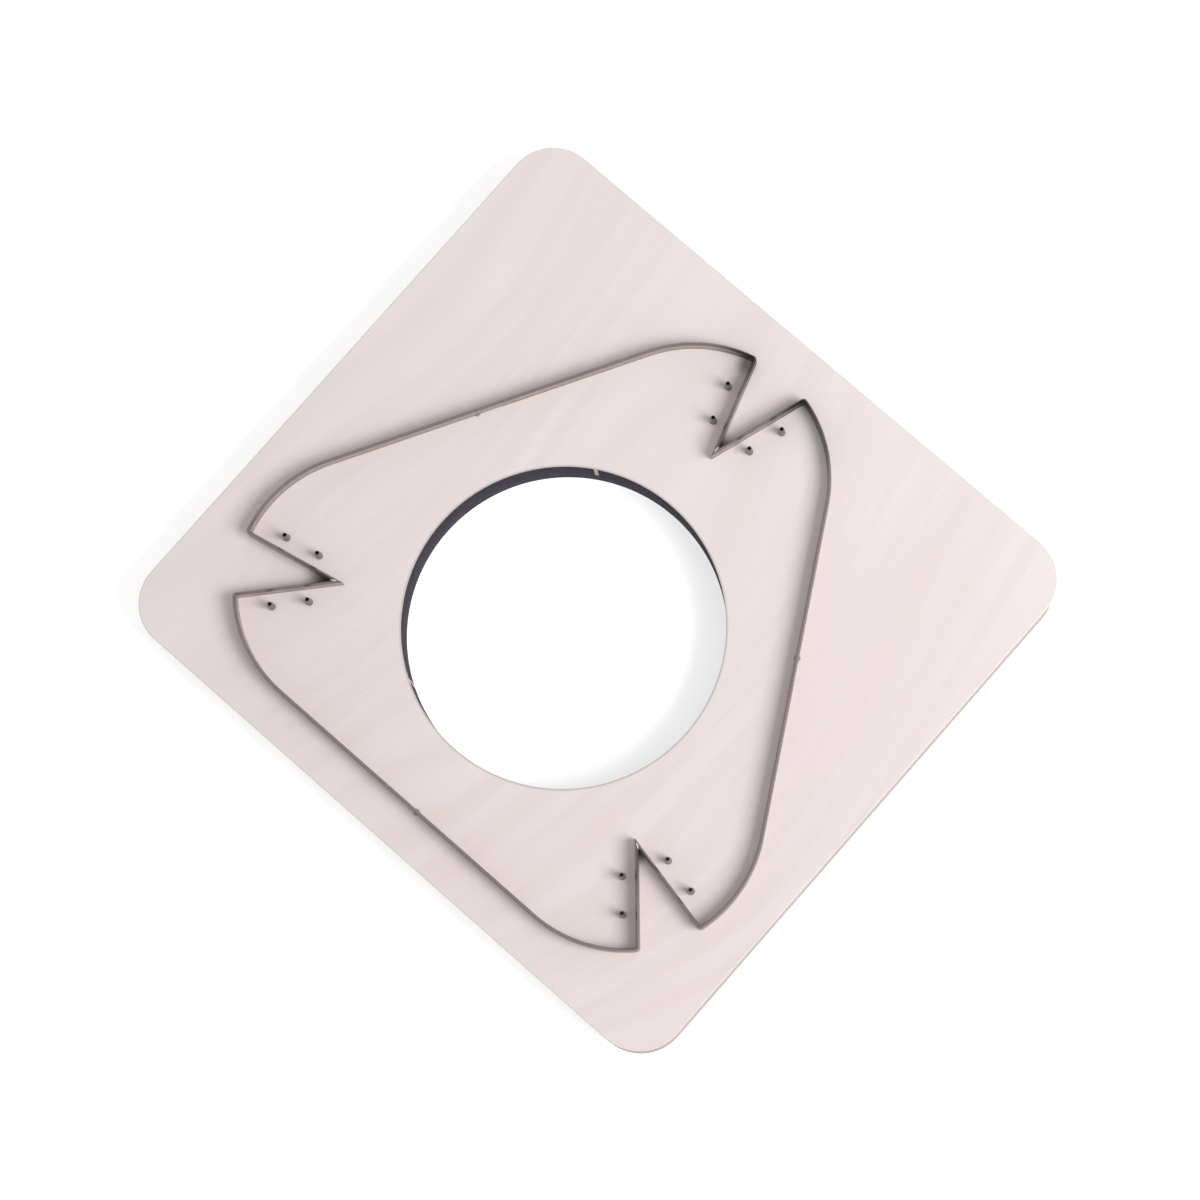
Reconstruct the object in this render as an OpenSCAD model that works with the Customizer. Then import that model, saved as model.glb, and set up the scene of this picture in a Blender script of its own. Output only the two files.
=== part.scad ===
// Steel rule die that cuts a rounded three-sided leather blank with a V dart at each corner.
// Small hole punches beside each dart make the lacing holes.
// The origin is the centre of the board's underside, +Z is up and the cutting edges point up.

/* [Board] */
// Thickness of the plywood board
board_t = 18; // [12:0.5:20]
// Radius of the board's corners in plan
board_corner_r = 15; // [3:0.5:30]
// Board left on each side past the cut shape
side_margin = 13.7; // [6:0.1:40]
// Board left in front of the shape's straight front side
front_margin = 13.5; // [6:0.1:40]
// Board left behind the shape's rear corner
rear_margin = 12.9; // [6:0.1:40]

/* [Centre hole] */
// Diameter of the round hole through the board
hole_d = 100; // [20:1:124]

/* [Cutting rule] */
// Height of the rule, from the board's underside to the cutting edge
rule_h = 23.8; // [22:0.1:30]
// Thickness of the rule
rule_t = 1.05; // [0.7:0.05:1.45]
// Height of the two-sided bevel at the cutting edge
bevel_h = 1.2; // [0.5:0.1:2]
// Inside radius of the bend where a dart meets the outline
bend_r = 0.25; // [0.25:0.05:2]
// Gap between the mitred ends of two rules at a dart's point
mitre_gap = 0.04; // [0.02:0.01:0.2]

/* [Cut shape] */
// Distance from the shape's centre to each straight side
side_r = 72.2; // [68:0.1:76]
// Radius of the rounded corners
corner_r = 42; // [36:0.5:48]
// Depth of each dart, from the rounded corner in to its point
dart_depth = 31.7; // [26:0.1:36]
// Angle between the two legs of a dart
dart_angle = 36; // [24:1:50]

/* [Slots and bridges] */
// Clearance on each face of a rule in its slot
slot_gap = 0.05; // [0.01:0.01:0.2]
// Width of the uncut bridge in the middle of each straight side
bridge_w = 8; // [4:0.5:16]
// Clearance of the rule's cut-out round a bridge
bridge_gap = 0.3; // [0.1:0.05:1]

/* [Hole punches] */
// Diameter of a punch's shank
punch_d = 2.2; // [1.8:0.1:3.2]
// Diameter of the bore that the waste passes through
punch_bore_d = 1.2; // [0.6:0.1:1.5]
// Width of the sharp rim at the top of a punch
punch_rim_t = 0.06; // [0.02:0.01:0.15]
// Height of the outside taper that leads to the rim
punch_taper_h = 4; // [1:0.1:5]
// Clearance of a shank in the board
punch_gap = 0.03; // [0.01:0.01:0.2]
// Distance from a dart's leg to the row of punches beside it
lacing_inset = 4.6; // [3:0.1:7]
// Distance along a leg from the dart's point to the first punch
lacing_start = 9.7; // [7:0.1:12]
// Distance along a leg between punches
lacing_pitch = 11.6; // [6:0.1:14]

/* [Hidden] */
$fn = 96;

// The shape has three like sides, with a dart between each two of them.
SIDES = 3;
TURN = 360 / SIDES;
PUNCHES_PER_LEG = 2;
LEGS_PER_DART = 2;
PUNCHES = SIDES * LEGS_PER_DART * PUNCHES_PER_LEG;
// Steps round a corner's arc and round a bend
CORNER_STEPS = 20;
BEND_STEPS = 6;
// Extra length of a cutting solid past the face that it cuts
OVER = 1;

// Angle of each straight side's normal in plan
SIDE_ANGLES = [30, 150, 270];
RULE_NAMES = ["right_cutting_rule", "left_cutting_rule", "front_cutting_rule"];
PUNCH_NAMES = [for (i = [1:PUNCHES]) str("hole_punch_", i)];

function way(angle) = [cos(angle), sin(angle)];
function reverse(list) = [for (i = [len(list) - 1:-1:0]) list[i]];

// A rule's own frame has the straight side's normal on +X. Its upper half is worked out here.
half_angle = dart_angle / 2;
dart_axis = TURN / 2;
side_half_l = (side_r - corner_r) * tan(TURN / 2);
corner_centre = [side_r - corner_r, side_half_l];
corner_reach = norm(corner_centre) + corner_r;
dart_point = (corner_reach - dart_depth) * way(dart_axis);
leg_way = way(dart_axis - half_angle);
leg_side = way(dart_axis - half_angle - 90);

// The bend touches the leg's line and, from inside, the corner's circle.
bend_mid_r = bend_r + rule_t / 2;
bend_from = dart_point + leg_side * bend_mid_r - corner_centre;
bend_along = bend_from * leg_way;
leg_l = sqrt(bend_along ^ 2 - bend_from * bend_from + (corner_r - bend_mid_r) ^ 2) - bend_along;
bend_centre = corner_centre + bend_from + leg_way * leg_l;
bend_start = atan2(bend_centre.y - corner_centre.y, bend_centre.x - corner_centre.x);
bend_end = dart_axis - half_angle + 90;

// The board is as large as the cut shape and its margins, sawn to whole millimetres.
board_l = round(2 * (side_half_l + corner_r + side_margin));
board_w = round(front_margin + side_r + corner_reach + rear_margin);
layout_y = front_margin + side_r - board_w / 2;

// Plan line along the upper half of a rule, at a distance out from its middle.
// It ends where the leg comes to a distance from the dart's middle plane.
function half_line(out, mitre) = let (
    run = (mitre + cos(half_angle) * out) / sin(half_angle)
) concat(
    [for (i = [0:CORNER_STEPS]) corner_centre + (corner_r + out) * way(bend_start * i / CORNER_STEPS)],
    [for (i = [1:BEND_STEPS])
        bend_centre + (bend_mid_r + out) * way(bend_start + (bend_end - bend_start) * i / BEND_STEPS)],
    [dart_point - leg_side * out + leg_way * run]
);

// Plan line along a whole rule, from one dart's point to the other's.
function rule_line(out, mitre) = let (half = half_line(out, mitre))
    concat([for (p = reverse(half)) [p.x, -p.y]], half);

// Section of a rule as offset and height: a plain strip with a bevel on both faces at the top.
rule_section = [
    [-rule_t / 2, 0],
    [-rule_t / 2, rule_h - bevel_h],
    [0, rule_h],
    [rule_t / 2, rule_h - bevel_h],
    [rule_t / 2, 0]
];

// Places its children at the cut shape's centre.
module at_layout() {
    translate([0, layout_y, 0]) children();
}

// Solid swept from a section along a rule's plan lines.
module along_rule(section, mitre) {
    lines = [for (s = section) [for (p = rule_line(s.x, mitre)) [p.x, p.y, s.y]]];
    sides = len(section);
    stations = len(lines[0]);
    points = [for (line = lines) each line];
    skin = [
        for (k = [0:sides - 1], i = [0:stations - 2])
            let (a = k * stations + i, b = ((k + 1) % sides) * stations + i) [a, a + 1, b + 1, b]
    ];
    first_end = [for (k = [0:sides - 1]) k * stations];
    last_end = [for (k = [sides - 1:-1:0]) (k + 1) * stations - 1];
    polyhedron(points, concat(skin, [first_end, last_end]));
}

// Plan of the bridge in the middle of a straight side, with a clearance at its ends.
module bridge_plan(gap) {
    across = rule_t + 2 * OVER;
    translate([side_r - across / 2, -bridge_w / 2 - gap]) square([across, bridge_w + 2 * gap]);
}

// Plan of the slot for one rule, left uncut at the bridge.
module slot_plan() {
    half_w = rule_t / 2 + slot_gap;
    difference() {
        polygon(concat(rule_line(half_w, -slot_gap), reverse(rule_line(-half_w, -slot_gap))));
        bridge_plan(0);
    }
}

// Steel strip bent to one side of the shape, with a leg of a dart at each end.
module cutting_rule(angle) {
    color("#9a9698")
        at_layout()
            rotate(angle)
                difference() {
                    along_rule(rule_section, mitre_gap / 2);
                    translate([0, 0, -OVER])
                        linear_extrude(OVER + board_t + bridge_gap) bridge_plan(bridge_gap);
                }
}

// Places its children at one punch's centre. Punches run leg by leg, from the dart's point out.
module at_punch(i) {
    step = i % PUNCHES_PER_LEG;
    leg = floor(i / PUNCHES_PER_LEG) % LEGS_PER_DART;
    dart = floor(i / (PUNCHES_PER_LEG * LEGS_PER_DART));
    place = dart_point + leg_way * (lacing_start + lacing_pitch * step) + leg_side * lacing_inset;
    at_layout()
        rotate(SIDE_ANGLES[dart])
            mirror([0, leg, 0])
                translate(place) children();
}

// Steel tube with a sharp rim, open right through for the waste.
module hole_punch(i) {
    rim_r = punch_bore_d / 2 + punch_rim_t;
    color("#8f8b8e")
        at_punch(i)
            rotate_extrude()
                polygon([
                    [punch_bore_d / 2, 0],
                    [punch_d / 2, 0],
                    [punch_d / 2, rule_h - punch_taper_h],
                    [rim_r, rule_h],
                    [punch_bore_d / 2, rule_h]
                ]);
}

// Plan of the board, with rounded corners.
module board_plan() {
    inner_l = board_l - 2 * board_corner_r;
    inner_w = board_w - 2 * board_corner_r;
    square([board_l, inner_w], center = true);
    square([inner_l, board_w], center = true);
    for (x = [-1, 1], y = [-1, 1]) {
        translate([x * inner_l / 2, y * inner_w / 2]) circle(board_corner_r);
    }
}

// Plywood board with the centre hole, the slots and the punches' holes.
module die_board() {
    color("#e8dbd8")
        difference() {
            linear_extrude(board_t) board_plan();
            at_layout() {
                translate([0, 0, -OVER]) cylinder(d = hole_d, h = board_t + 2 * OVER);
                for (angle = SIDE_ANGLES) {
                    rotate(angle) translate([0, 0, -OVER]) linear_extrude(board_t + 2 * OVER) slot_plan();
                }
            }
            for (i = [0:PUNCHES - 1]) {
                at_punch(i)
                    translate([0, 0, -OVER]) cylinder(d = punch_d + 2 * punch_gap, h = board_t + 2 * OVER);
            }
        }
}

die_board();
for (k = [0:SIDES - 1]) {
    cutting_rule(SIDE_ANGLES[k]);
}
for (i = [0:PUNCHES - 1]) {
    hole_punch(i);
}
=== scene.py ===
import math

import bmesh
import bpy
from mathutils import Matrix, Vector


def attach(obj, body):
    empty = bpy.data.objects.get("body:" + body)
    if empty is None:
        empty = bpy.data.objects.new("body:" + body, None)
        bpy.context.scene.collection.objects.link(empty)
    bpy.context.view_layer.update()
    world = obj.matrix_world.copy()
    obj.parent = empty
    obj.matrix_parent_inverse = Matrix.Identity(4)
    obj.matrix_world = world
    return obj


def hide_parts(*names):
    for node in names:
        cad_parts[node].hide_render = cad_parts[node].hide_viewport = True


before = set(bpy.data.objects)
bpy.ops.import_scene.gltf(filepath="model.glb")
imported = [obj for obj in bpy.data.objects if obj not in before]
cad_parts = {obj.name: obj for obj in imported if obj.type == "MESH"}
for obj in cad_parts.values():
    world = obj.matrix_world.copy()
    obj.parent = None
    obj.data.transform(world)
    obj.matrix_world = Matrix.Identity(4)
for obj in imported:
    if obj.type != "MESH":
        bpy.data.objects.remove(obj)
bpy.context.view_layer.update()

# Sizes that the source of the solids has, in millimetres
MM = 0.001
BOARD_L = 216.0
BOARD_W = 201.0
BOARD_T = 18.0
BOARD_CORNER_R = 15.0
LAYOUT_Y = -14.8
HOLE_R = 50.0
RULE_H = 23.8
RULE_T = 1.05
BEVEL_H = 1.2
BEND_R = 0.25
MITRE_GAP = 0.04
SIDE_R = 72.2
CORNER_R = 42.0
DART_DEPTH = 31.7
DART_ANGLE = 36.0
SLOT_GAP = 0.05
BRIDGE_W = 8.0
BRIDGE_GAP = 0.3
PUNCH_R = 1.1
PUNCH_TAPER_H = 4.0
PUNCH_GAP = 0.03
PUNCHES_PER_LEG = 2
LACING_INSET = 4.6
LACING_START = 9.7
LACING_PITCH = 11.6
TURN = 120.0
RULES = {"right": 30.0, "left": 150.0, "front": 270.0}

# Metres to millimetres on each axis, for points in a material
IN_MM = (1000.0, 1000.0, 1000.0)

# Finer steps than the solids have, so that bent steel shades smoothly
CORNER_STEPS = 60
BEND_STEPS = 10
ROUND_STEPS = 24
HOLE_STEPS = 240
PUNCH_STEPS = 40

# Softened edges of the wood
EDGE_R = 0.3
HOLE_EDGE_R = 0.15
ARRIS_STEPS = 3

# Least angles between faces that shade as a sharp edge
WOOD_SHARP = math.radians(35)
STEEL_SHARP = math.radians(16)

# Near the mitre the V side of the edge is ground to a small flat
GROUND_L = 0.4
GROUND_RAMP = 0.5
GROUND_EDGE_DROP = 0.10
GROUND_SIDE_DROP = 0.22
RULE_ENDS = (12.0, 5.0, GROUND_L + GROUND_RAMP, GROUND_L, 0.0)


def way(angle):
    """Unit vector in plan at an angle in degrees."""
    a = math.radians(angle)
    return Vector((math.cos(a), math.sin(a)))


# A rule's own plan frame has the straight side's normal on +X
HALF_ANGLE = DART_ANGLE / 2
DART_AXIS = TURN / 2
SIDE_HALF_L = (SIDE_R - CORNER_R) * math.tan(math.radians(DART_AXIS))
CORNER_CENTRE = Vector((SIDE_R - CORNER_R, SIDE_HALF_L))
DART_POINT = (CORNER_CENTRE.length + CORNER_R - DART_DEPTH) * way(DART_AXIS)
LEG_WAY = way(DART_AXIS - HALF_ANGLE)
LEG_SIDE = way(DART_AXIS - HALF_ANGLE - 90)
BEND_MID_R = BEND_R + RULE_T / 2
BEND_FROM = DART_POINT + LEG_SIDE * BEND_MID_R - CORNER_CENTRE
BEND_ALONG = BEND_FROM.dot(LEG_WAY)
LEG_L = math.sqrt(BEND_ALONG**2 - BEND_FROM.length_squared + (CORNER_R - BEND_MID_R) ** 2) - BEND_ALONG
BEND_CENTRE = CORNER_CENTRE + BEND_FROM + LEG_WAY * LEG_L
BEND_START = math.degrees(math.atan2(BEND_CENTRE.y - CORNER_CENTRE.y, BEND_CENTRE.x - CORNER_CENTRE.x))
BEND_END = DART_AXIS - HALF_ANGLE + 90

# The hole's centre is the cut shape's centre
HOLE_CENTRE = Vector((0.0, LAYOUT_Y))


def leg_end(out, mitre):
    """How far from the dart's point a leg's line starts, at a distance out and from the middle plane."""
    half = math.radians(HALF_ANGLE)
    return (mitre + math.cos(half) * out) / math.sin(half)


def half_line(out, mitre, ends=(0.0,)):
    """Plan line along a rule's upper half, with a point at each distance in ends from the mitre."""
    line = []
    for i in range(CORNER_STEPS + 1):
        line.append(CORNER_CENTRE + (CORNER_R + out) * way(BEND_START * i / CORNER_STEPS))
    for i in range(1, BEND_STEPS + 1):
        angle = BEND_START + (BEND_END - BEND_START) * i / BEND_STEPS
        line.append(BEND_CENTRE + (BEND_MID_R + out) * way(angle))
    start = DART_POINT - LEG_SIDE * out
    for end in ends:
        line.append(start + LEG_WAY * (leg_end(out, mitre) + end))
    return line


def turned(points, angle):
    """Plan points of a rule's own frame, turned to a side and set at the cut shape's centre."""
    a = math.radians(angle)
    c, s = math.cos(a), math.sin(a)
    return [Vector((c * p.x - s * p.y, s * p.x + c * p.y + LAYOUT_Y)) for p in points]


def mirrored(points):
    """Plan points mirrored in a dart's middle plane, in a rule's own frame."""
    axis = way(DART_AXIS)
    return [2 * p.dot(axis) * axis - p for p in points]


def left_of(spot):
    """A plan point mirrored from the right half of the board to the left half."""
    return Vector((-spot.x, spot.y))


def make_object(name, bm, materials, body="root"):
    """A new object from a bmesh in millimetres, riding on a body."""
    bmesh.ops.scale(bm, vec=(MM, MM, MM), verts=bm.verts)
    mesh = bpy.data.meshes.new(name)
    bm.to_mesh(mesh)
    bm.free()
    for material in materials:
        mesh.materials.append(material)
    obj = bpy.data.objects.new(name, mesh)
    bpy.context.scene.collection.objects.link(obj)
    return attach(obj, body)


def srgb(r, g, b):
    """Linear colour of three display values from 0 to 255."""
    def linear(v):
        v /= 255
        return v / 12.92 if v <= 0.04045 else ((v + 0.055) / 1.055) ** 2.4

    return (linear(r), linear(g), linear(b), 1.0)


def shaded(tone, by):
    """A colour with each of its three values multiplied."""
    return tuple(value * factor for value, factor in zip(tone, by)) + (1.0,)


# Birch: the two tones of its figure, and what is mixed into them, painted light among them
BIRCH_DARK = srgb(229, 217, 216)
BIRCH_LIGHT = srgb(235, 225, 225)
BIRCH_PATCH = srgb(232, 217, 217)
BIRCH_FIBRE = srgb(222, 205, 203)
BIRCH_FLECK = srgb(205, 184, 178)
BIRCH_PAINTED_LIGHT = srgb(249, 241, 240)

# Veneer: what sets the noise of its two sheets apart, and how its rings bow and wander
SHEET_SEED = 37.0
RING_BOW_Y = 20.0
RING_BOW = 0.0012
RING_WANDER = 70.0

# Painted light: the veneer grows paler along this way in plan, between two distances from the board's middle
PAINTED_LIGHT_WAY = Vector((-0.66, 0.75))
PAINTED_LIGHT_FROM = -140.0
PAINTED_LIGHT_TO = 160.0
PAINTED_LIGHT_SHARE = 0.33

# Brown marks where the beam pierced the board
PIERCED = srgb(92, 60, 48)
PIERCED_R = 0.55
PIERCED_SOFT = 0.9
PIERCED_SHARE = 0.75

# Scorch and painted shade in the darts' points, and how far they run out in the dart that follows each rule
SCORCH_AND_SHADE = srgb(56, 45, 43)
SCORCH_AND_SHADE_REACH = {"right": 9.5, "left": 13.5, "front": 8.5}
SCORCH_AND_SHADE_CORE = 0.38
SCORCH_AND_SHADE_STREAK = 2.0
SCORCH_AND_SHADE_SHARE = 0.92

# Painted shade on the wood inside a bend
BEND_WOOD_SHADE = srgb(96, 80, 76)
BEND_WOOD_SHADE_IN = 2.3
BEND_WOOD_SHADE_R = 0.2
BEND_WOOD_SHADE_SOFT = 4.2
BEND_WOOD_SHADE_SHARE = 0.5

# Singed rim of the hole
SINGED = srgb(150, 128, 122)
SINGED_W = 0.9
SINGED_SHARE = 0.5

# Plies: along their fibres, at their fibres' ends, a tone that varies from ply to ply, and glue
PLIES = 13
PLY_LONG = (srgb(203, 192, 187), srgb(218, 208, 204))
PLY_END = (srgb(166, 150, 141), srgb(191, 176, 167))
PLY_TONE = srgb(192, 180, 173)
PLY_GLUE = srgb(140, 118, 106)
PLY_SEED = 7.3
PLY_TONE_SEED = 3.1
GLUE_FULL = 0.49

# Charred wall of a cut
CHAR_DARK = srgb(42, 40, 52)
CHAR_LIGHT = srgb(66, 62, 77)
CHAR_BLOTCH = srgb(80, 73, 82)
CHAR_PLY = srgb(50, 44, 52)
CHAR_GLUE = srgb(26, 22, 26)
CHAR_FOOT = srgb(88, 66, 56)
CHAR_FOOT_H = 2.5

# Stubs of the tabs in the hole: angle in plan and height of the lower end
TAB_WOOD = srgb(226, 206, 192)
TAB_R = 0.45
TAB_SOFT = 0.25
TABS = ((120.0, 8.5), (240.0, 0.0), (0.0, 0.0))

# Steel, as linear values
STRIP_TONE = (0.41, 0.36, 0.348, 1.0)
BEVEL_TONE = (0.27, 0.236, 0.228, 1.0)
FLAT_TONE = (0.92, 0.91, 0.91, 1.0)
STEEL_DARKER = (0.86, 0.86, 0.86)
STEEL_WARMER = (0.72, 0.64, 0.58)
STEEL_SPECULAR = 0.2
TURNED_DARK = (0.14, 0.124, 0.12, 1.0)
TURNED_LIGHT = (0.22, 0.196, 0.19, 1.0)
TURNED_STAIN = (0.11, 0.086, 0.078, 1.0)
TURNED_TAPER = (0.27, 0.24, 0.232, 1.0)
TAPER_BLEND = 0.3

# Painted shade on the steel at a bend, and how far back along the arc its second spot lies, in degrees
BEND_STEEL_SHADE = (0.022, 0.018, 0.018, 1.0)
BEND_STEEL_SHADE_R = 2.0
BEND_STEEL_SHADE_ARC = 18.0


class Graph:
    """A material's nodes, made one call at a time."""

    def __init__(self, name):
        self.material = bpy.data.materials.new(name)
        self.material.use_nodes = True
        self.tree = self.material.node_tree
        self.tree.nodes.clear()
        self.bsdf = self.add("ShaderNodeBsdfPrincipled")
        output = self.add("ShaderNodeOutputMaterial")
        self.tree.links.new(self.bsdf.outputs[0], output.inputs["Surface"])

    def set(self, socket, value):
        """Gives a socket a link or a plain value."""
        if isinstance(value, bpy.types.NodeSocket):
            self.tree.links.new(value, socket)
        else:
            socket.default_value = value

    def surface(self, inputs):
        """Sets sockets of the surface by their names."""
        for key, value in inputs.items():
            self.set(self.bsdf.inputs[key], value)

    def add(self, kind, inputs=None, **props):
        """A new node with its properties and inputs."""
        node = self.tree.nodes.new(kind)
        for key, value in props.items():
            setattr(node, key, value)
        for key, value in (inputs or {}).items():
            self.set(node.inputs[key], value)
        return node

    def math(self, operation, a, b=0.0):
        return self.add("ShaderNodeMath", {0: a, 1: b}, operation=operation).outputs[0]

    def plus(self, a, b):
        return self.math("ADD", a, b)

    def minus(self, a, b):
        return self.math("SUBTRACT", a, b)

    def times(self, a, b):
        return self.math("MULTIPLY", a, b)

    def in_mm(self, vector):
        """A vector in metres, turned to millimetres and split into its three values."""
        scaled = self.add("ShaderNodeVectorMath", {0: vector, 1: IN_MM}, operation="MULTIPLY").outputs[0]
        return self.parts(scaled)

    def place(self):
        """The three values of the point in the part's frame."""
        return self.in_mm(self.add("ShaderNodeTexCoord").outputs["Object"])

    def parts(self, vector):
        return self.add("ShaderNodeSeparateXYZ", {0: vector}).outputs

    def join(self, x, y, z=0.0):
        return self.add("ShaderNodeCombineXYZ", {0: x, 1: y, 2: z}).outputs[0]

    def scaled(self, place, by, seed=0.0):
        """A point stretched along each axis, and moved up by a seed."""
        x, y, z = place
        high = self.plus(self.times(z, by[2]), seed)
        return self.join(self.times(x, by[0]), self.times(y, by[1]), high)

    def plies(self, place, waver, glue_from):
        """The number of the ply at a point, counted from below, a tone of its own, and the share of glue."""
        _, _, z = place
        wave = self.noise(self.scaled(place, (0.03, 0.03, 0.05)), detail=2.0)
        level = self.plus(self.times(z, PLIES / BOARD_T), self.times(wave, waver))
        layer = self.math("FLOOR", level)
        tone = self.noise(self.join(0.0, 0.0, self.times(layer, PLY_TONE_SEED)), detail=0.0)
        from_middle = self.math("ABSOLUTE", self.minus(self.math("FRACT", level), 0.5))
        return layer, tone, self.span(from_middle, glue_from, GLUE_FULL)

    def noise(self, vector, detail=3.0, roughness=0.55):
        inputs = {"Vector": vector, "Scale": 1.0, "Detail": detail, "Roughness": roughness}
        return self.add("ShaderNodeTexNoise", inputs).outputs["Fac"]

    def span(self, value, low, high, to_low=0.0, to_high=1.0):
        """A value's range mapped to another, with smooth ends."""
        inputs = {"Value": value, 1: low, 2: high, 3: to_low, 4: to_high}
        return self.add("ShaderNodeMapRange", inputs, interpolation_type="SMOOTHSTEP").outputs[0]

    def swing(self, noise, to_low=0.0, to_high=1.0):
        """The usual range of a noise mapped to another."""
        return self.span(noise, 0.3, 0.7, to_low, to_high)

    def mix(self, share, a, b):
        node = self.add("ShaderNodeMix", data_type="RGBA")
        self.set(node.inputs[0], share)
        self.set(node.inputs[6], a)
        self.set(node.inputs[7], b)
        return node.outputs[2]

    def bump(self, height, distance, strength):
        inputs = {"Height": height, "Distance": distance * MM, "Strength": strength}
        self.set(self.bsdf.inputs["Normal"], self.add("ShaderNodeBump", inputs).outputs[0])

    def plan_distance(self, spot, place):
        """The distance in plan from a spot."""
        x, y, _ = place
        dx = self.minus(x, spot.x)
        dy = self.minus(y, spot.y)
        return self.math("SQRT", self.plus(self.times(dx, dx), self.times(dy, dy)))

    def near(self, spot, place, radius, soft):
        """1 within a radius of a spot in plan, falling to 0 over a soft rim."""
        return self.span(self.plan_distance(spot, place), radius, radius + soft, 1.0, 0.0)


# Birch veneer of the board's two faces, with the grain along the board's shorter side
def veneer_material():
    g = Graph("birch_veneer")
    place = g.place()
    x, y, z = place
    sheet = g.times(g.math("GREATER_THAN", z, BOARD_T / 2), SHEET_SEED)

    def grain(across, per_across, per_along):
        """A point on a sheet, scaled across and along the grain."""
        return g.join(g.times(across, per_across), g.times(y, per_along), sheet)

    wander = g.noise(grain(x, 0.012, 0.005), detail=1.0)
    bow = g.times(g.math("POWER", g.minus(y, RING_BOW_Y), 2.0), RING_BOW)
    ring = g.plus(g.plus(x, bow), g.times(wander, RING_WANDER))
    figure = g.span(g.noise(grain(ring, 0.11, 0.004)), 0.34, 0.66)
    patch = g.noise(grain(x, 0.022, 0.012), detail=2.0)
    fibre = g.noise(grain(ring, 2.2, 0.05), detail=4.0)
    fleck = g.span(g.noise(grain(x, 3.6, 0.32), detail=1.0), 0.63, 0.78)

    colour = g.mix(figure, BIRCH_DARK, BIRCH_LIGHT)
    colour = g.mix(g.span(patch, 0.35, 0.68, 0.0, 0.55), colour, BIRCH_PATCH)
    colour = g.mix(g.span(fibre, 0.35, 0.75, 0.0, 0.20), colour, BIRCH_FIBRE)
    colour = g.mix(g.times(fleck, 0.22), colour, BIRCH_FLECK)

    # Painted light: the sheet grows paler toward its rear left corner
    painted_light = g.plus(g.times(x, PAINTED_LIGHT_WAY.x), g.times(y, PAINTED_LIGHT_WAY.y))
    colour = g.mix(g.span(painted_light, PAINTED_LIGHT_FROM, PAINTED_LIGHT_TO, 0.0, PAINTED_LIGHT_SHARE), colour, BIRCH_PAINTED_LIGHT)

    # Brown marks where the cutting beam pierced the board beside each bridge
    for angle in RULES.values():
        spot = turned([Vector((SIDE_R, BRIDGE_W / 2))], angle)[0]
        mark = g.near(spot, place, PIERCED_R, PIERCED_SOFT)
        colour = g.mix(g.times(mark, PIERCED_SHARE), colour, PIERCED)

    # Scorch and painted shade on the sliver of wood between the two slots that meet at a dart's point
    for side, angle in RULES.items():
        reach = SCORCH_AND_SHADE_REACH[side]
        point, ahead = turned([DART_POINT, DART_POINT + way(DART_AXIS)], angle)
        axis = ahead - point
        dx = g.minus(x, point.x)
        dy = g.minus(y, point.y)
        run = g.plus(g.times(dx, axis.x), g.times(dy, axis.y))
        off = g.minus(g.times(dy, axis.x), g.times(dx, axis.y))
        spread = g.times(run, math.tan(math.radians(HALF_ANGLE)))
        inside = g.math("GREATER_THAN", spread, g.math("ABSOLUTE", off))
        streaky = g.plus(run, g.times(fibre, SCORCH_AND_SHADE_STREAK))
        scorch_and_shade = g.span(streaky, SCORCH_AND_SHADE_CORE * reach, reach, SCORCH_AND_SHADE_SHARE, 0.0)
        colour = g.mix(g.times(inside, scorch_and_shade), colour, SCORCH_AND_SHADE)

    # Painted shade on the wood inside the left bend of the rear dart, where the bend's walls keep the light
    # off
    inward = (way(BEND_START - 90) - LEG_WAY).normalized()
    spot = turned([BEND_CENTRE + BEND_WOOD_SHADE_IN * inward], RULES["right"])[0]
    wood_shade = g.near(left_of(spot), place, BEND_WOOD_SHADE_R, BEND_WOOD_SHADE_SOFT)
    colour = g.mix(g.times(wood_shade, BEND_WOOD_SHADE_SHARE), colour, BEND_WOOD_SHADE)

    # A faint scorched rim round the hole
    radius = g.plan_distance(HOLE_CENTRE, place)
    colour = g.mix(g.span(radius, HOLE_R, HOLE_R + SINGED_W, SINGED_SHARE, 0.0), colour, SINGED)

    g.surface({"Base Color": colour, "Roughness": g.swing(fibre, 0.62, 0.78), "Specular IOR Level": 0.3})
    g.bump(g.plus(fibre, g.times(fleck, -0.8)), 0.03, 0.6)
    return g.material


# Sawn edge of the board, where the crossed plies and their glue lines show
def ply_edge_material():
    g = Graph("ply_edge")
    place = g.place()
    layer, tone, glue = g.plies(place, 0.10, 0.44)
    seed = g.times(layer, PLY_SEED)

    # The plies between run along X, and a ply's fibres end on the faces that look along them
    crossed = g.math("MODULO", layer, 2.0)
    nx, ny, _ = g.parts(g.add("ShaderNodeNewGeometry").outputs["Normal"])
    to_x = g.times(nx, nx)
    to_y = g.times(ny, ny)
    ends = g.plus(to_y, g.times(crossed, g.minus(to_x, to_y)))

    long_grain = g.noise(g.scaled(place, (0.06, 0.06, 3.0), seed), detail=4.0)
    end_grain = g.noise(g.scaled(place, (2.4, 2.4, 0.9), seed), detail=4.0)
    pale = g.mix(g.swing(long_grain), *PLY_LONG)
    brown = g.mix(g.swing(end_grain), *PLY_END)
    colour = g.mix(g.span(ends, 0.1, 0.9), pale, brown)
    colour = g.mix(g.swing(tone, 0.0, 0.25), colour, PLY_TONE)
    colour = g.mix(g.times(glue, 0.55), colour, PLY_GLUE)

    g.surface({"Base Color": colour, "Roughness": g.swing(end_grain, 0.68, 0.86), "Specular IOR Level": 0.25})
    saw = g.noise(g.scaled(place, (3.2, 3.2, 0.15)), detail=2.0)
    rough = g.plus(g.times(end_grain, ends), saw)
    g.bump(g.plus(g.times(glue, -0.6), rough), 0.06, 0.7)
    return g.material


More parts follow.
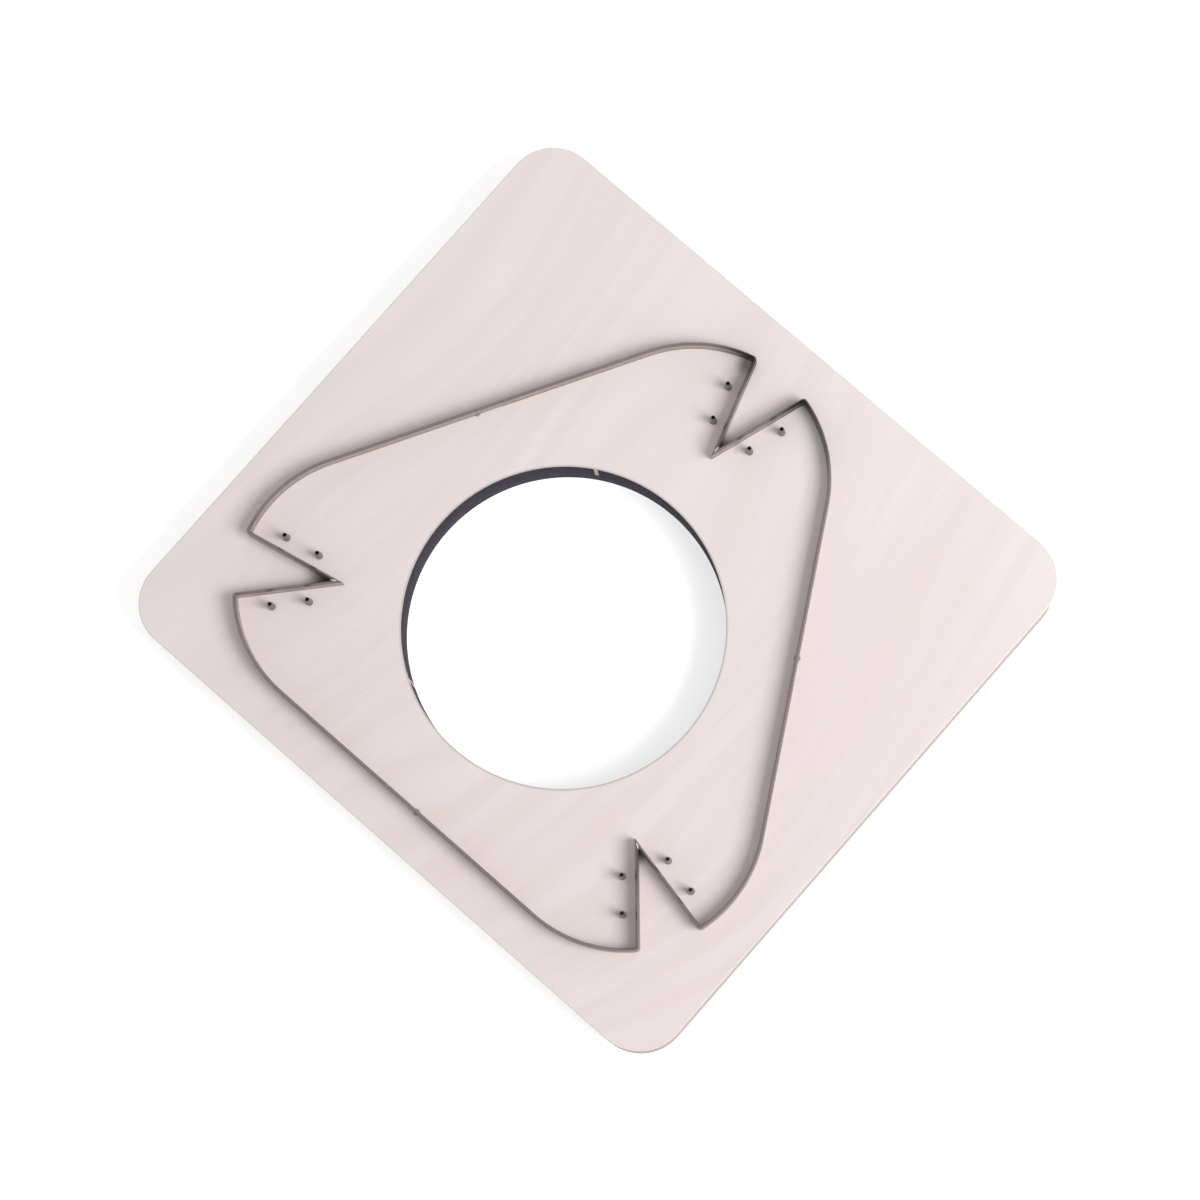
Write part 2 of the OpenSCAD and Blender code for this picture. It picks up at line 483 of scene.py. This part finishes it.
# Wall that the cutting beam left: charred, with upright striations and traces of the plies
def charred_material():
    g = Graph("charred_cut")
    place = g.place()
    _, _, z = place
    _, tone, glue = g.plies(place, 0.35, 0.40)
    streak = g.noise(g.scaled(place, (1.1, 1.1, 0.05)), detail=5.0, roughness=0.68)
    blotch = g.noise(g.scaled(place, (0.10, 0.10, 0.15)))
    colour = g.mix(g.swing(streak), CHAR_DARK, CHAR_LIGHT)
    colour = g.mix(g.span(blotch, 0.45, 0.75, 0.0, 0.45), colour, CHAR_BLOTCH)
    colour = g.mix(g.swing(tone, 0.0, 0.35), colour, CHAR_PLY)
    colour = g.mix(g.times(glue, 0.18), colour, CHAR_GLUE)
    colour = g.mix(g.span(z, 0.0, CHAR_FOOT_H, 0.35, 0.0), colour, CHAR_FOOT)

    # Pale stubs of the tabs that held the round waste until it was broken out
    for angle, bottom in TABS:
        tab = g.near(HOLE_CENTRE + HOLE_R * way(angle), place, TAB_R, TAB_SOFT)
        above = g.math("GREATER_THAN", z, bottom)
        colour = g.mix(g.times(tab, above), colour, TAB_WOOD)

    g.surface({"Base Color": colour, "Roughness": g.swing(streak, 0.7, 0.9), "Specular IOR Level": 0.12})
    g.bump(g.plus(streak, g.times(glue, 0.2)), 0.08, 0.6)
    return g.material


# Rolled steel strip, with faint lines along its length
def strip_material(name, tone, metallic, rough, lines):
    g = Graph(name)
    along, up, _ = g.in_mm(g.add("ShaderNodeUVMap", uv_map="strip").outputs[0])

    def strip(per_along, per_up):
        """A point on the strip laid flat, scaled along its length and up its height."""
        return g.join(g.times(along, per_along), g.times(up, per_up))

    streak = g.noise(strip(0.05, lines))
    smear = g.noise(strip(0.16, 0.25))
    speck = g.noise(strip(1.1, 1.1), detail=2.0)
    dark = shaded(tone, STEEL_DARKER)
    colour = g.mix(g.swing(streak), dark, tone)
    colour = g.mix(g.span(smear, 0.48, 0.8, 0.0, 0.4), colour, dark)
    colour = g.mix(g.span(speck, 0.68, 0.82, 0.0, 0.35), colour, shaded(tone, STEEL_WARMER))

    # Painted shade on the steel at the two bends of the rear dart, running on along the right arc, where the
    # flanks face away from the light
    place = g.place()
    arc_spot = CORNER_CENTRE + CORNER_R * way(BEND_START - BEND_STEEL_SHADE_ARC)
    bend, arc = turned([BEND_CENTRE, arc_spot], RULES["right"])
    for spot, soft, share in ((bend, 12.0, 0.93), (left_of(bend), 12.0, 0.9), (arc, 11.0, 0.6)):
        steel_shade = g.near(spot, place, BEND_STEEL_SHADE_R, soft)
        colour = g.mix(g.times(steel_shade, share), colour, BEND_STEEL_SHADE)

    g.surface({
        "Base Color": colour,
        "Metallic": metallic,
        "Roughness": g.swing(smear, *rough),
        "Specular IOR Level": STEEL_SPECULAR,
    })
    g.bump(streak, 0.006, 0.5)
    return g.material


# Turned steel of the punches, with fine rings, stains and a brighter ground taper
def punch_material():
    g = Graph("turned_steel")
    place = g.place()
    _, _, z = place
    ring = g.noise(g.scaled(place, (0.2, 0.2, 9.0)))
    stain = g.noise(g.scaled(place, (1.0, 1.0, 0.6)))
    colour = g.mix(g.swing(ring), TURNED_DARK, TURNED_LIGHT)
    colour = g.mix(g.span(stain, 0.5, 0.8, 0.0, 0.6), colour, TURNED_STAIN)
    ground = RULE_H - PUNCH_TAPER_H
    colour = g.mix(g.span(z, ground, ground + TAPER_BLEND, 0.0, 0.5), colour, TURNED_TAPER)
    g.surface({
        "Base Color": colour,
        "Metallic": 0.6,
        "Roughness": g.swing(stain, 0.26, 0.42),
        "Specular IOR Level": STEEL_SPECULAR,
    })
    g.bump(ring, 0.01, 0.5)
    return g.material


VENEER = veneer_material()
PLY_EDGE = ply_edge_material()
CHARRED = charred_material()
STRIP = strip_material("rolled_steel", STRIP_TONE, metallic=0.7, rough=(0.26, 0.38), lines=5.0)
BEVEL = strip_material("ground_bevel", BEVEL_TONE, metallic=0.6, rough=(0.24, 0.36), lines=12.0)
FLAT = strip_material("bright_flat", FLAT_TONE, metallic=1.0, rough=(0.12, 0.20), lines=12.0)
PUNCH = punch_material()

# Materials of the board and of a rule, and their places in each list
BOARD_MATERIALS = [VENEER, PLY_EDGE, CHARRED]
ON_FACE, ON_EDGE, ON_CUT = range(3)
RULE_MATERIALS = [STRIP, BEVEL, FLAT]
ON_FLANK, ON_BEVEL, ON_FLAT = range(3)


def rounded_board(inset):
    """Plan of the board, drawn in by an inset."""
    loop = []
    r = BOARD_CORNER_R - inset
    for k, (sx, sy) in enumerate(((1, 1), (-1, 1), (-1, -1), (1, -1))):
        centre = Vector((sx * (BOARD_L / 2 - BOARD_CORNER_R), sy * (BOARD_W / 2 - BOARD_CORNER_R)))
        for i in range(ROUND_STEPS + 1):
            loop.append(centre + r * way(90 * k + 90 * i / ROUND_STEPS))
    return loop


def circle(centre, radius, steps):
    return [centre + radius * way(360 * i / steps) for i in range(steps)]


def slot_loop(angle):
    """Outline of the slot for two rules' meeting legs at one dart, from bridge to bridge."""
    half_w = RULE_T / 2 + SLOT_GAP
    outer = [Vector((SIDE_R + half_w, BRIDGE_W / 2))] + half_line(half_w, 0.0)
    inner = [Vector((SIDE_R - half_w, BRIDGE_W / 2))] + half_line(-half_w, 0.0)
    loop = outer + mirrored(outer)[-2::-1] + mirrored(inner) + inner[-2::-1]
    return turned(loop, angle)


def arris(radius):
    """Rounded edge as inset and height above the lower face."""
    steps = [math.radians(90 * i / ARRIS_STEPS) for i in range(ARRIS_STEPS + 1)]
    return [(radius * (1 - math.sin(a)), radius * (1 - math.cos(a))) for a in steps]


def through_profile(radius):
    """Inset and height all the way up a wall with both its edges rounded."""
    low = arris(radius)
    return low + [(inset, BOARD_T - z) for inset, z in reversed(low)]


def punch_places():
    """Plan centres of the punches, leg by leg, from each dart's point out."""
    places = []
    for angle in RULES.values():
        for leg in (1, -1):
            for step in range(PUNCHES_PER_LEG):
                run = LACING_START + LACING_PITCH * step
                p = DART_POINT + LEG_WAY * run + LEG_SIDE * LACING_INSET
                places += turned([Vector((p.x, leg * p.y))], angle)
    return places


def wall(bm, rings, material):
    """Faces between rings of like length. The first and last ring are given back, for the board's faces."""
    rows = [[bm.verts.new((p.x, p.y, z)) for p in loop] for loop, z in rings]
    count = len(rows[0])
    arris_rows = ARRIS_STEPS if len(rows) > 2 else 0
    for k in range(len(rows) - 1):
        for i in range(count):
            j = (i + 1) % count
            face = bm.faces.new((rows[k][i], rows[k][j], rows[k + 1][j], rows[k + 1][i]))
            face.smooth = True
            at_arris = k < arris_rows or k >= len(rows) - 1 - arris_rows
            face.material_index = ON_FACE if at_arris else material
    return rows[0], rows[-1]


def loop_edges(bm, row):
    """Edges of a closed row of vertices."""
    count = len(row)
    return [bm.edges.get((row[i], row[(i + 1) % count])) for i in range(count)]


def mark_sharp(bm, angle):
    """Turns all faces out, and shades edges sharp where two faces meet at more than an angle."""
    bmesh.ops.recalc_face_normals(bm, faces=bm.faces)
    for edge in bm.edges:
        if len(edge.link_faces) == 2 and edge.calc_face_angle() > angle:
            edge.smooth = False


def make_board():
    """Plywood board with softened edges, the hole, the slots and the punches' holes."""
    bm = bmesh.new()
    rim = [(rounded_board(inset), z) for inset, z in through_profile(EDGE_R)]
    hole = [(circle(HOLE_CENTRE, HOLE_R + inset, HOLE_STEPS), z) for inset, z in through_profile(HOLE_EDGE_R)]
    walls = [wall(bm, rim, ON_EDGE), wall(bm, hole, ON_CUT)]
    cuts = [slot_loop(angle) for angle in RULES.values()]
    cuts += [circle(place, PUNCH_R + PUNCH_GAP, PUNCH_STEPS) for place in punch_places()]
    for loop in cuts:
        walls.append(wall(bm, [(loop, 0.0), (loop, BOARD_T)], ON_CUT))
    for side, normal in ((0, (0, 0, -1)), (1, (0, 0, 1))):
        edges = [e for pair in walls for e in loop_edges(bm, pair[side])]
        filled = bmesh.ops.triangle_fill(bm, use_beauty=True, use_dissolve=False, edges=edges, normal=normal)
        for item in filled["geom"]:
            if isinstance(item, bmesh.types.BMFace):
                item.smooth = False
        for edge in edges:
            edge.smooth = False
    mark_sharp(bm, WOOD_SHARP)
    return make_object("plywood_board", bm, BOARD_MATERIALS)


def rule_lines(out):
    """A rule's whole plan line at a distance out, with points at the bridge's cut-out."""
    half = half_line(out, MITRE_GAP / 2, RULE_ENDS)
    cut = BRIDGE_W / 2 + BRIDGE_GAP
    upper = [Vector((SIDE_R + out, cut))] + half
    return [Vector((p.x, -p.y)) for p in reversed(upper)] + upper


# Section of a rule as offset and height, up one flank, over the cutting edge and down the other
CUT_TOP = BOARD_T + BRIDGE_GAP
SHOULDER = RULE_H - BEVEL_H
RULE_SECTION = [
    (-RULE_T / 2, 0.0),
    (-RULE_T / 2, CUT_TOP),
    (-RULE_T / 2, SHOULDER),
    (0.0, RULE_H),
    (RULE_T / 2, SHOULDER),
    (RULE_T / 2, CUT_TOP),
    (RULE_T / 2, 0.0),
]
EDGE_ROW = 3
V_SHOULDER_ROW = 4
LAST_ROW = len(RULE_SECTION) - 1
GROUND_HEIGHTS = {EDGE_ROW: RULE_H - GROUND_EDGE_DROP, V_SHOULDER_ROW: RULE_H - GROUND_SIDE_DROP}

# How far round the section each of its rows lies, for the steel's lines
OVER_EDGE = RULE_H + BEVEL_H
GIRTH = [0.0, CUT_TOP, SHOULDER, RULE_H, OVER_EDGE, OVER_EDGE + RULE_H - CUT_TOP, OVER_EDGE + RULE_H]


def make_rule(name, angle):
    """Bevelled steel strip bent to one side of the shape, cut out at its bridge and mitred at its ends."""
    bm = bmesh.new()
    uv = bm.loops.layers.uv.new("strip")
    middle = turned(rule_lines(0.0), angle)
    runs = [0.0]
    for a, b in zip(middle, middle[1:]):
        runs.append(runs[-1] + (b - a).length)
    stations = len(middle)
    gap = stations // 2 - 1
    ground = (0, 1, stations - 2, stations - 1)
    rows = []
    for k, (out, z) in enumerate(RULE_SECTION):
        row = []
        for i, p in enumerate(turned(rule_lines(out), angle)):
            height = GROUND_HEIGHTS.get(k, z) if i in ground else z
            row.append(bm.verts.new((p.x, p.y, height)))
        rows.append(row)

    def face(corners, material, smooth=True):
        made = bm.faces.new([rows[k][i] for k, i in corners])
        made.material_index = material
        made.smooth = smooth
        for loop, (k, i) in zip(made.loops, corners):
            loop[uv].uv = (runs[i] * MM, GIRTH[k] * MM)

    for i in range(stations - 1):
        for k in range(LAST_ROW):
            if i == gap and k in (0, LAST_ROW - 1):
                continue
            material = ON_BEVEL if k in (EDGE_ROW - 1, EDGE_ROW) else ON_FLANK
            if k == EDGE_ROW and i in ground and i + 1 in ground:
                material = ON_FLAT
            face(((k, i), (k, i + 1), (k + 1, i + 1), (k + 1, i)), material)
        low, high = (1, LAST_ROW - 1) if i == gap else (0, LAST_ROW)
        face(((low, i), (high, i), (high, i + 1), (low, i + 1)), ON_FLANK, False)
    for i in (gap, gap + 1):
        face(((0, i), (1, i), (LAST_ROW - 1, i), (LAST_ROW, i)), ON_FLANK, False)
    for i in (0, stations - 1):
        face([(k, i) for k in range(LAST_ROW + 1)], ON_FLANK, False)
    mark_sharp(bm, STEEL_SHARP)
    return make_object(name, bm, RULE_MATERIALS)


board = make_board()
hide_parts("die_board")
for side, angle in RULES.items():
    rule = make_rule(f"{side}_rule", angle)
    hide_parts(f"{side}_cutting_rule")
for name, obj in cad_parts.items():
    if name.startswith("hole_punch"):
        obj.material_slots[0].material = PUNCH


# Floor: white to the eye, and still in the object's shadow
WHITE = (1.0, 1.0, 1.0, 1.0)
FLOOR_GREY = (0.86, 0.86, 0.86, 1.0)
FLOOR_GLOW = 0.58
FLOOR_HALF = 4.0
FLOOR_Z = -0.0002


def floor_material():
    g = Graph("white_floor")
    path = g.add("ShaderNodeLightPath").outputs
    seen = g.math("MAXIMUM", path["Is Camera Ray"], path["Is Glossy Ray"])
    seen = g.math("MAXIMUM", seen, path["Is Transmission Ray"])
    g.surface({
        "Base Color": FLOOR_GREY,
        "Roughness": 0.9,
        "Specular IOR Level": 0.1,
        "Emission Color": WHITE,
        "Emission Strength": g.times(seen, FLOOR_GLOW),
    })
    return g.material


floor_mesh = bpy.data.meshes.new("floor")
corners = [(sx * FLOOR_HALF, sy * FLOOR_HALF, FLOOR_Z) for sx, sy in ((-1, -1), (1, -1), (1, 1), (-1, 1))]
floor_mesh.from_pydata(corners, [], [(0, 1, 2, 3)])
floor_mesh.materials.append(floor_material())
floor = bpy.data.objects.new("floor", floor_mesh)
bpy.context.scene.collection.objects.link(floor)


# World: an even fill, white where it is seen or mirrored
FILL = 0.50
world = bpy.data.worlds.new("studio")
world.use_nodes = True
bpy.context.scene.world = world
nodes = world.node_tree.nodes
links = world.node_tree.links
path = nodes.new("ShaderNodeLightPath").outputs
seen = nodes.new("ShaderNodeMath")
seen.operation = "MAXIMUM"
links.new(path["Is Camera Ray"], seen.inputs[0])
links.new(path["Is Glossy Ray"], seen.inputs[1])
strength = nodes.new("ShaderNodeMapRange")
links.new(seen.outputs[0], strength.inputs["Value"])
strength.inputs["To Min"].default_value = FILL
strength.inputs["To Max"].default_value = 1.0
links.new(strength.outputs[0], nodes["Background"].inputs["Strength"])
nodes["Background"].inputs["Color"].default_value = WHITE


def area_light(name, azimuth, elevation, distance, size, power):
    """A square soft light that looks at the part from a direction."""
    data = bpy.data.lights.new(name, "AREA")
    data.shape = "SQUARE"
    data.size = size
    data.energy = power
    a, e = math.radians(azimuth), math.radians(elevation)
    back = Vector((math.cos(a) * math.cos(e), math.sin(a) * math.cos(e), math.sin(e)))
    lamp = bpy.data.objects.new(name, data)
    lamp.location = back * distance
    lamp.rotation_euler = (-back).to_track_quat("-Z", "Y").to_euler()
    bpy.context.scene.collection.objects.link(lamp)


area_light("key", azimuth=20.0, elevation=47.0, distance=1.3, size=0.72, power=12.2)

# Camera: fitted to the photograph's board corners and hole
CAMERA_LENS = 113.85
CAMERA_SENSOR = 36.0
CAMERA_RIGHT = Vector((0.7491, 0.6602, -0.0540))
CAMERA_BACK = Vector((0.1423, -0.0808, 0.9865))
CAMERA_PLACE = Vector((168.8, -95.3, 1167.2)) * MM
camera_data = bpy.data.cameras.new("camera")
camera_data.sensor_fit = "HORIZONTAL"
camera_data.sensor_width = CAMERA_SENSOR
camera_data.lens = CAMERA_LENS
camera_data.clip_start = 0.05
camera_data.clip_end = 20.0
camera = bpy.data.objects.new("camera", camera_data)
back = CAMERA_BACK.normalized()
right = (CAMERA_RIGHT - back * CAMERA_RIGHT.dot(back)).normalized()
up = back.cross(right)
camera.matrix_world = Matrix((
    (right.x, up.x, back.x, CAMERA_PLACE.x),
    (right.y, up.y, back.y, CAMERA_PLACE.y),
    (right.z, up.z, back.z, CAMERA_PLACE.z),
    (0.0, 0.0, 0.0, 1.0),
))
bpy.context.scene.collection.objects.link(camera)
bpy.context.scene.camera = camera
bpy.context.scene.view_settings.view_transform = "Standard"
